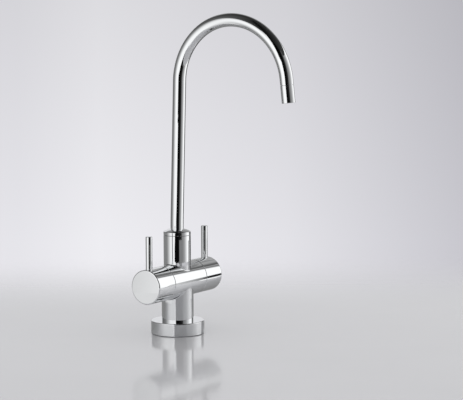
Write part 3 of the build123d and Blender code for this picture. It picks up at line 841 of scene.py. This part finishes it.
def half_barrel(skin, radius, start, end, middle, branch, soften, place):
    """Adds the wall of a half barrel round a branch or a hole. Gives the branch's angles and foot heights."""
    outline = frame_outline(start, end, middle)
    angles = np.arctan2(radius * outline[:, 1], outline[:, 0])
    outer = branch + soften
    foot = np.sqrt((radius + soften) ** 2 - (outer * np.sin(angles)) ** 2)
    touch = np.stack([outer * np.cos(angles), np.arcsin(outer * np.sin(angles) / (radius + soften))], 1)
    shares = np.linspace(0, 1, SPREAD_STEPS + 1)[:, None, None]
    spread = touch[None] * (1 - shares) + outline[None] * shares
    skin.grid(*on_barrel(radius, middle + spread[..., 0], spread[..., 1]), place)
    if soften:
        ball_track(skin, radius, middle, branch, soften, angles, foot, place)
    return angles, foot


print("barrel joins have", 2 * (ALONG_STEPS + HALF_STEPS), "corners round the branch")

# %% [markdown]
# ## The valve body
# One brass casting holds everything: the column stands in the flange, the barrel takes a valve at each end and
# the neck takes the spout. The bores are there too, as plain turned steps, because the caps and the spout
# leave thin gaps that let the eye in.

# %% Barrel, neck and column
COLUMN_RADIUS = 15.5
JOIN_ROUND = 1.2
FINE_EDGE = 0.12
WALL_START = 1.0             # a turned end takes over this far before the rim
RUNNING = 0.05               # play where one piece turns in another
CHAMBER_STEP = 1.45          # the water chamber under the spout is this much narrower than the neck's bore
CHAMBER_DEPTH = 4.0
body_low, body_high = box_mm("valve_body")
barrel_radius, barrel_half, neck_top = body_high.y, body_high.x, body_high.z
neck_radius = box_mm("spout_collar")[1].x
barrel_height = next(joint["pos_m"][2] for joint in frame["joints"] if joint["name"] == "right_handle_turn") / MM
AT_BARREL = Matrix.Translation((0, 0, barrel_height))
HANG = Matrix.Diagonal((1, 1, -1, 1))


def add_branch(skin, radius, top, place):
    """Adds half of the barrel and the upright that leaves it. Gives the upright's angles."""
    wall_end = barrel_half - WALL_START
    angles, foot = half_barrel(skin, barrel_radius, -wall_end, wall_end, 0.0, radius, JOIN_ROUND, place)
    upright_wall(skin, 0.0, radius, foot, top, angles, place)
    return angles


def add_neck(skin):
    """Upper half of the barrel, the neck and its bore."""
    angles = add_branch(skin, neck_radius, neck_top - WALL_START - barrel_height, AT_BARREL)
    neck_bore = box_mm("spout_foot")[1].x + RUNNING
    ledge = box_mm("spout_bush")[0].z
    spin(skin, profile_runs([
        (neck_radius, neck_top - WALL_START), (neck_radius, neck_top, FINE_EDGE), (neck_bore, neck_top, EDGE),
        (neck_bore, ledge), (neck_bore - CHAMBER_STEP, ledge), (neck_bore - CHAMBER_STEP, ledge - CHAMBER_DEPTH),
        (0.0, ledge - CHAMBER_DEPTH)]), angles=angles)


def add_column(skin):
    """Lower half of the barrel, the column and the spigot with its inlets and stud hole."""
    ledge = flange_high.z
    angles = add_branch(skin, COLUMN_RADIUS, barrel_height - ledge - WALL_START, AT_BARREL @ HANG)
    rim = SPIGOT_RADIUS - 2 * EDGE
    spin(skin, profile_runs([
        (rim, body_low.z), (SPIGOT_RADIUS, body_low.z, EDGE), (SPIGOT_RADIUS, ledge), (COLUMN_RADIUS, ledge),
        (COLUMN_RADIUS, ledge + WALL_START)]), angles=angles)
    wells = [(mount["pos_m"][0] / MM, mount["pos_m"][1] / MM, mount["dims"]["r_mm"], mount["dims"]["length_mm"])
             for mount in frame["record"]["mounts"] if mount["name"].startswith("inlet")]
    low, high = box_mm("fixing_stud")
    wells.append((0.0, (low.y + high.y) / 2, high.x + CLEARANCE, high.z - body_low.z + CLEARANCE))
    loops = [[(rim * cos(angle), rim * sin(angle), body_low.z) for angle in angles]]
    around = even_angles(HALF_STEPS)
    for x, y, radius, depth in wells:
        loops.append([(x + radius * cos(turn), y + radius * sin(turn), body_low.z) for turn in around])
        spin(skin, profile_runs([(radius, body_low.z), (radius, body_low.z + depth), (0.0, body_low.z + depth)]),
             Matrix.Translation((x, y, 0)), around)
    skin.flat(loops, (0.0, 0.0, -1.0))


print(f"barrel: radius {barrel_radius:.2f} mm at height {barrel_height:.1f} mm")

# %% Valve bores and the finished body
JOINT_EDGE = 0.4
SHOULDER = 2.0               # thickness of the cartridge's shoulder behind its nut
CAVITY_RADIUS = 8.45
GALLERY = (4.25, 0.25)       # ring channel round the cartridge, from and to behind the shoulder
GALLERY_DEPTH = 1.0
INLET_RADIUS = 3.0
INLET_END = 3.0


def pointing(direction, spot):
    """Places a turned piece so that its Z axis points along a direction."""
    turn = Vector(direction).to_track_quat("Z", "Y").to_matrix().to_4x4()
    return Matrix.Translation(spot) @ turn


def add_valve_bore(skin, side):
    """End face of the barrel and the stepped bore that takes a cartridge."""
    counterbore = box_mm("right_cartridge_body")[1].y + CLEARANCE
    shoulder = box_mm("right_cartridge_nut")[0].x - SHOULDER
    cavity = CAVITY_RADIUS + CLEARANCE
    gallery_low, gallery_high = (shoulder - behind for behind in GALLERY)
    seat = box_mm("right_seat_seal")[0].x
    spin(skin, profile_runs([
        (barrel_radius, barrel_half - WALL_START), (barrel_radius, barrel_half, JOINT_EDGE),
        (counterbore, barrel_half, EDGE), (counterbore, shoulder), (cavity, shoulder), (cavity, gallery_high),
        (cavity + GALLERY_DEPTH, gallery_high), (cavity + GALLERY_DEPTH, gallery_low), (cavity, gallery_low),
        (cavity, seat), (INLET_RADIUS, seat), (INLET_RADIUS, INLET_END), (0.0, INLET_END)]),
        pointing((side, 0, 0), (0, 0, barrel_height)), even_angles(2 * HALF_STEPS))


body_skin = Skin()
add_neck(body_skin)
add_column(body_skin)
for side in (-1, 1):
    add_valve_bore(body_skin, side)
dress(body_skin.build("chrome_valve_body", CHROME_PLATE), "body", "valve_body")

# %% [markdown]
# ## Turning caps and levers
# Each end of the barrel is a hollow cap that turns with its spindle. The lever is a plain rod pushed into a
# hole across the cap, and a grub screw from below locks the cap. Both sides come from one description; the
# left one is the mirror image, and the skin turns its faces outwards by their normals.

# %% Caps
CAP_ROUND = 1.2
CAP_WALL = 2.75
SOCKET_RADIUS = 4.0          # the spindle's end
SOCKET_DEPTH = 6.5
SIDES = {-1: "left", 1: "right"}
lever_low, lever_high = box_mm("right_lever_rod")
grub_low, grub_high = box_mm("right_handle_grub_screw")
cap_low, cap_high = box_mm("right_handle_cap")
lever_x, grub_x = (lever_low.x + lever_high.x) / 2, (grub_low.x + grub_high.x) / 2


def add_hole(skin, x, radius, floor, place):
    """Adds half of the cap's wall round a blind hole; the floor is measured from the barrel's axis."""
    start, end = cap_low.x + WALL_START, cap_high.x - CAP_ROUND
    angles, rim = half_barrel(skin, barrel_radius, start, end, x, radius, 0.0, place)
    upright_wall(skin, x, radius, rim, floor, angles, place, facing=-1.0)
    skin.flat([[(x + radius * cos(turn), radius * sin(turn), floor) for turn in angles]], (0.0, 0.0, 1.0), place)


def make_cap(side):
    """The turning end of the barrel, on one side."""
    mirror = Matrix.Diagonal((side, 1, 1, 1))
    skin = Skin()
    add_hole(skin, lever_x, lever_high.y + CLEARANCE, lever_low.z - barrel_height - CLEARANCE, mirror @ AT_BARREL)
    add_hole(skin, grub_x, grub_high.y + CLEARANCE, barrel_height - grub_high.z, mirror @ AT_BARREL @ HANG)
    axis = mirror @ pointing((1, 0, 0), (0, 0, barrel_height))
    ends = even_angles(2 * HALF_STEPS)
    spin(skin, profile_runs([
        (barrel_radius, cap_high.x - CAP_ROUND), (barrel_radius, cap_high.x, CAP_ROUND), (0.0, cap_high.x)])[1:],
        axis, ends)
    socket, inner = SOCKET_RADIUS + CLEARANCE, barrel_radius - CAP_WALL
    socket_start = grub_x - SOCKET_DEPTH / 2
    socket_end = socket_start + SOCKET_DEPTH
    spin(skin, profile_runs([
        (0.0, socket_end), (socket, socket_end), (socket, socket_start), (inner, socket_start),
        (inner, cap_low.x, EDGE), (barrel_radius, cap_low.x, JOINT_EDGE),
        (barrel_radius, cap_low.x + WALL_START)]), axis, ends)
    return skin.build(f"chrome_{SIDES[side]}_cap", CHROME_PLATE)


print(f"cap: {cap_high.x - cap_low.x:.1f} mm long, its lever's hole at {lever_x:.1f} mm")

# %% Levers
LEVER_ROUND = 0.8


def make_lever(side):
    """A plain round lever with a softened top."""
    return turned(f"chrome_{SIDES[side]}_lever", profile_runs([
        (0.0, lever_low.z), (lever_high.y, lever_low.z, EDGE), (lever_high.y, lever_high.z, LEVER_ROUND),
        (0.0, lever_high.z)]), place=Matrix.Translation((side * lever_x, 0, 0)))


for side, word in SIDES.items():
    for piece, node in ((make_cap(side), f"{word}_handle_cap"), (make_lever(side), f"{word}_lever_rod")):
        dress(piece, f"{word}_handle", node)

# %% [markdown]
# ## The collar
# The collar closes the neck round the tube and turns with the spout. Its top is a low dome that runs into a
# tight rounding at the rim, one arc into another, so the light slides over it without a break.

# %% Collar
DOME_BULGE = 0.35
DOME_RISE = 2.4
DOME_STEPS = 16
RIM_ROUND = 0.7
GRIP_RADIUS = 7.99           # the collar grips the top of the spout's foot
collar_low, collar_high = box_mm("spout_collar")
tube_bore = box_mm("spout_tube")[1].x + CLEARANCE
grip_top = box_mm("spout_foot")[1].z + CLEARANCE


def dome_runs(rim_radius, rim_height, top_radius, top_height):
    """The rim's rounding and the dome, tangent to each other."""
    half = np.array((rim_radius - top_radius, top_height - rim_height)) / 2
    chord = hypot(*half)
    dome = (chord ** 2 + DOME_BULGE ** 2) / (2 * DOME_BULGE)
    outward = np.array((half[1], half[0])) / chord
    middle = np.array((rim_radius + top_radius, rim_height + top_height)) / 2
    centre = middle - outward * (dome - DOME_BULGE)
    rim_x = rim_radius - RIM_ROUND
    rim_z = centre[1] + sqrt((dome - RIM_ROUND) ** 2 - (rim_x - centre[0]) ** 2)
    meet = atan2(rim_z - centre[1], rim_x - centre[0])
    end = atan2(top_height - centre[1], top_radius - centre[0])
    return [arc_run((rim_x, rim_z), RIM_ROUND, 0.0, meet), arc_run(centre, dome, meet, end, DOME_STEPS)], rim_z


dome, rim_height = dome_runs(collar_high.x, collar_high.z - DOME_RISE, tube_bore, collar_high.z)
dress(turned("chrome_spout_collar", profile_runs([
    (tube_bore, collar_high.z), (tube_bore, grip_top), (GRIP_RADIUS, grip_top), (GRIP_RADIUS, collar_low.z),
    (collar_high.x, collar_low.z, FINE_EDGE), (collar_high.x, rim_height)]) + dome), "spout", "spout_collar")

# %% [markdown]
# ## The gooseneck
# A tube bender makes this part by rule: so much straight tube, so many degrees at such a radius, then straight
# again. Geometry Nodes can follow the same rule. Walking along the tube, each step turns the heading by what the
# rule says at that length, and adding up the steps gives the centre line. A ring swept along it is the tube,
# and Solidify gives it its wall.

# %% Geometry trees
def new_rule(name, sizes):
    """An empty geometry tree with an input for its material and for each size, and a wire to each input."""
    tree = bpy.data.node_groups.new(name, "GeometryNodeTree")
    tree.interface.new_socket("Geometry", in_out="OUTPUT", socket_type="NodeSocketGeometry")
    tree.interface.new_socket("Material", in_out="INPUT", socket_type="NodeSocketMaterial")
    for title, value in sizes.items():
        kind = {int: "NodeSocketInt", float: "NodeSocketFloat"}.get(type(value), "NodeSocketVector")
        tree.interface.new_socket(title, in_out="INPUT", socket_type=kind).default_value = value
    entry = tree.nodes.new("NodeGroupInput")
    return Wire(tree), {title: Wire(tree, entry.outputs[title]) for title in ("Material", *sizes)}


def end_rule(wire, size, geometry):
    """Ends a tree in real geometry with its material."""
    real = wire.node("GeometryNodeRealizeInstances", None, {"Geometry": geometry})
    done = wire.node("GeometryNodeSetMaterial", None, {"Geometry": real, "Material": size["Material"]})
    wire.node("NodeGroupOutput", None, {"Geometry": done})
    return wire.tree


def run_rule(name, tree, material, sizes, wall=0.0):
    """Runs a tree with its sizes and gives its result as a plain mesh object."""
    carrier = add_object(name, bpy.data.meshes.new(name))
    rule = carrier.modifiers.new("rule", "NODES")
    rule.node_group = tree
    inputs = {item.name: item.identifier for item in tree.interface.items_tree if item.in_out == "INPUT"}
    for title, value in {"Material": material, **sizes}.items():
        rule[inputs[title]] = value
    if wall:
        skin = carrier.modifiers.new("wall", "SOLIDIFY")
        skin.thickness, skin.offset, skin.use_rim = wall, -1.0, True
    result = bpy.data.meshes.new_from_object(carrier.evaluated_get(bpy.context.evaluated_depsgraph_get()))
    carrier.modifiers.clear()
    carrier.data = result
    result.name = name
    return carrier


print("geometry trees end in Realize Instances and Set Material")

# %% The tube's rule
def gooseneck_rule(sizes):
    """Heading as a function of length, added up step by step into a centre line, with a ring swept along it."""
    wire, size = new_rule("gooseneck", sizes)
    lean_end = size["Foot"] + size["Lean"] * size["Lean Radius"]
    arc_start = lean_end + size["Riser"]
    arc_end = arc_start + size["Arc"] * size["Arc Radius"]
    step = (arc_end + size["Nose"]) / size["Steps"]
    length = (wire.node("GeometryNodeInputIndex") + 0.5) * step
    heading = rise(length, size["Foot"], lean_end) * size["Lean"] + rise(length, arc_start, arc_end) * size["Arc"]
    move = wire.node("CombineXYZ", None, {"Y": heading.maths("SINE") * (step * -1.0),
                                          "Z": heading.maths("COSINE") * step})
    spot = wire.node("GeometryNodeAccumulateField", {"data_type": "FLOAT_VECTOR"}, {0: move}, "Trailing")
    base = wire.node("CombineXYZ", None, {"Z": size["Start Height"]})
    placed = wire.node("VectorMath", {"operation": "ADD"}, {0: base, 1: spot})
    line = wire.node("GeometryNodeMeshLine", None, {"Count": size["Steps"] + 1.0})
    moved = wire.node("GeometryNodeSetPosition", None, {"Geometry": line, "Position": placed})
    curve = wire.node("GeometryNodeMeshToCurve", None, {"Mesh": moved})
    ring = wire.node("GeometryNodeCurvePrimitiveCircle", None, {"Resolution": size["Sides"],
                                                                "Radius": size["Radius"]})
    tube = wire.node("GeometryNodeCurveToMesh", None, {"Curve": curve, "Profile Curve": ring})
    return end_rule(wire, size, wire.node("GeometryNodeSetShadeSmooth", None, {"Geometry": tube}))


print("the tube leans, rises and bends by its sizes alone")

# %% Gooseneck
TUBE_WALL = 0.9 * MM
STRAIGHT_FOOT = 1.0 * MM
tube_low, tube_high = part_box("spout_tube")
TUBE = {"Radius": tube_high.x, "Foot": collar_high.z * MM + STRAIGHT_FOOT - tube_low.z, "Lean": radians(1.8),
        "Lean Radius": 300.0 * MM, "Riser": 134.4 * MM, "Arc": radians(172.0), "Arc Radius": 61.0 * MM,
        "Nose": 5.0 * MM, "Start Height": tube_low.z, "Steps": 360, "Sides": 72}
spout_tube = run_rule("chrome_gooseneck", gooseneck_rule(TUBE), CHROME_PLATE, TUBE, wall=TUBE_WALL)
spout_tube.data.set_sharp_from_angle(angle=radians(50))
dress(spout_tube, "spout", "spout_tube")
top = max(corner[2] for corner in spout_tube.bound_box)
print("tube's top is off the model by", round((top - tube_high.z) / MM, 3), "mm")

# %% [markdown]
# ## The outlet sleeve
# A short sleeve of the tube's own diameter is pushed into its end and holds the flow straightener. The joint
# shows only as a fine line, so both rims get a small rounding that catches the light.

# %% Outlet sleeve
SLEEVE_SEAM = 0.15
SLEEVE_LENGTH = 17.0
SLEEVE_WALL = 1.15
SPIGOT_LENGTH = 6.0
SPIGOT_WALL = 1.1
LIP_DEPTH = 9.0
outlet = next(mount for mount in frame["record"]["mounts"] if mount["name"] == "outlet_end")
water = Vector(outlet["axis"])
tube_end = Vector(outlet["pos_m"]) / MM - water * (SLEEVE_LENGTH - EDGE - outlet["dims"]["length_mm"] / 2)
tube_radius = tube_high.x / MM
spigot = tube_radius - TUBE_WALL / MM - CLEARANCE
dress(turned("chrome_outlet_sleeve", profile_runs([
    (spigot - SPIGOT_WALL, -SPIGOT_LENGTH), (spigot, -SPIGOT_LENGTH), (spigot, SLEEVE_SEAM),
    (tube_radius, SLEEVE_SEAM, JOINT_EDGE), (tube_radius, SLEEVE_LENGTH, EDGE),
    (tube_radius - SLEEVE_WALL, SLEEVE_LENGTH, EDGE), (tube_radius - SLEEVE_WALL, LIP_DEPTH),
    (spigot - SPIGOT_WALL, LIP_DEPTH)], closed=True), place=pointing(water, tube_end)), "spout", "outlet_sleeve")

# %% [markdown]
# ## The fixing stud
# Below its foot a threaded stud pulls the tap down. Its thread is rolled: one ridge that climbs by a pitch with
# every turn. In Geometry Nodes a flat grid is rolled into a rod, and each point's distance from the axis
# follows how far along its turn of the ridge it sits.

# %% The thread's rule
def thread_rule(sizes):
    """A grid rolled into a rod with one climbing ridge."""
    wire, size = new_rule("thread", sizes)
    grid = wire.node("GeometryNodeMeshGrid", None, {"Size X": 1.0, "Size Y": 1.0, "Vertices X": size["Rows"],
                                                   "Vertices Y": size["Sides"]})
    place = wire.node("GeometryNodeInputPosition")
    along, around = (wire.node("SeparateXYZ", None, {0: place}, axis) + 0.5 for axis in "XY")
    height = along * size["Length"]
    ridge = ((height / size["Pitch"] - around) * 2.0).maths("PINGPONG", 1.0)
    end = height.maths("MINIMUM", size["Length"] - height)
    groove = 1.0 - rise(ridge, 0.12, 0.88) * rise(end, 0.0, size["Pitch"])
    thick = (size["Radius"] - groove * size["Depth"]) * end.maths("GREATER_THAN", 1e-7)
    turn = around * tau
    spot = wire.node("CombineXYZ", None, {"X": turn.maths("COSINE") * thick, "Y": turn.maths("SINE") * thick,
                                          "Z": height})
    moved = wire.node("VectorMath", {"operation": "ADD"}, {0: spot, 1: size["Foot"]})
    rod = wire.node("GeometryNodeSetPosition", None, {"Geometry": grid, "Position": moved})
    whole = wire.node("GeometryNodeMergeByDistance", None, {"Geometry": rod, "Distance": 1e-7})
    return end_rule(wire, size, wire.node("GeometryNodeFlipFaces", None, {"Mesh": whole}))


print("the thread is one grid rolled round the stud's axis")

# %% Threaded stud
PITCH = 1.25 * MM
THREAD_ROWS = 8              # rows of faces for each turn of the thread
stud_low, stud_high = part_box("fixing_stud")
middle = (stud_low + stud_high) / 2
stud_length = stud_high.z - stud_low.z
STUD = {"Radius": (stud_high.x - stud_low.x) / 2, "Depth": 0.7 * MM, "Pitch": PITCH, "Length": stud_length,
        "Foot": (middle.x, middle.y, stud_low.z), "Rows": int(stud_length / PITCH * THREAD_ROWS) + 1, "Sides": 37}
fixing_stud = run_rule("steel_fixing_stud", thread_rule(STUD), STEEL, STUD)
dress(fixing_stud, "body", "fixing_stud")
work = bmesh.new()
work.from_mesh(fixing_stud.data)
print("stud volume:", round(work.calc_volume(signed=True) / MM ** 3), "mm3; open edges:",
      sum(not edge.is_manifold for edge in work.edges))
work.free()

# %% [markdown]
# ## The last look
# The dressed tap has to fill the same box as the imported model, so both boxes are printed side by side.

# %% Print the two boxes and finish
visual_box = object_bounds()
for word, low, high in (("model", *cad_box), ("dressed", *visual_box)):
    print(word, "box:", [f"{value / MM:.1f}" for value in (*low, *high)])
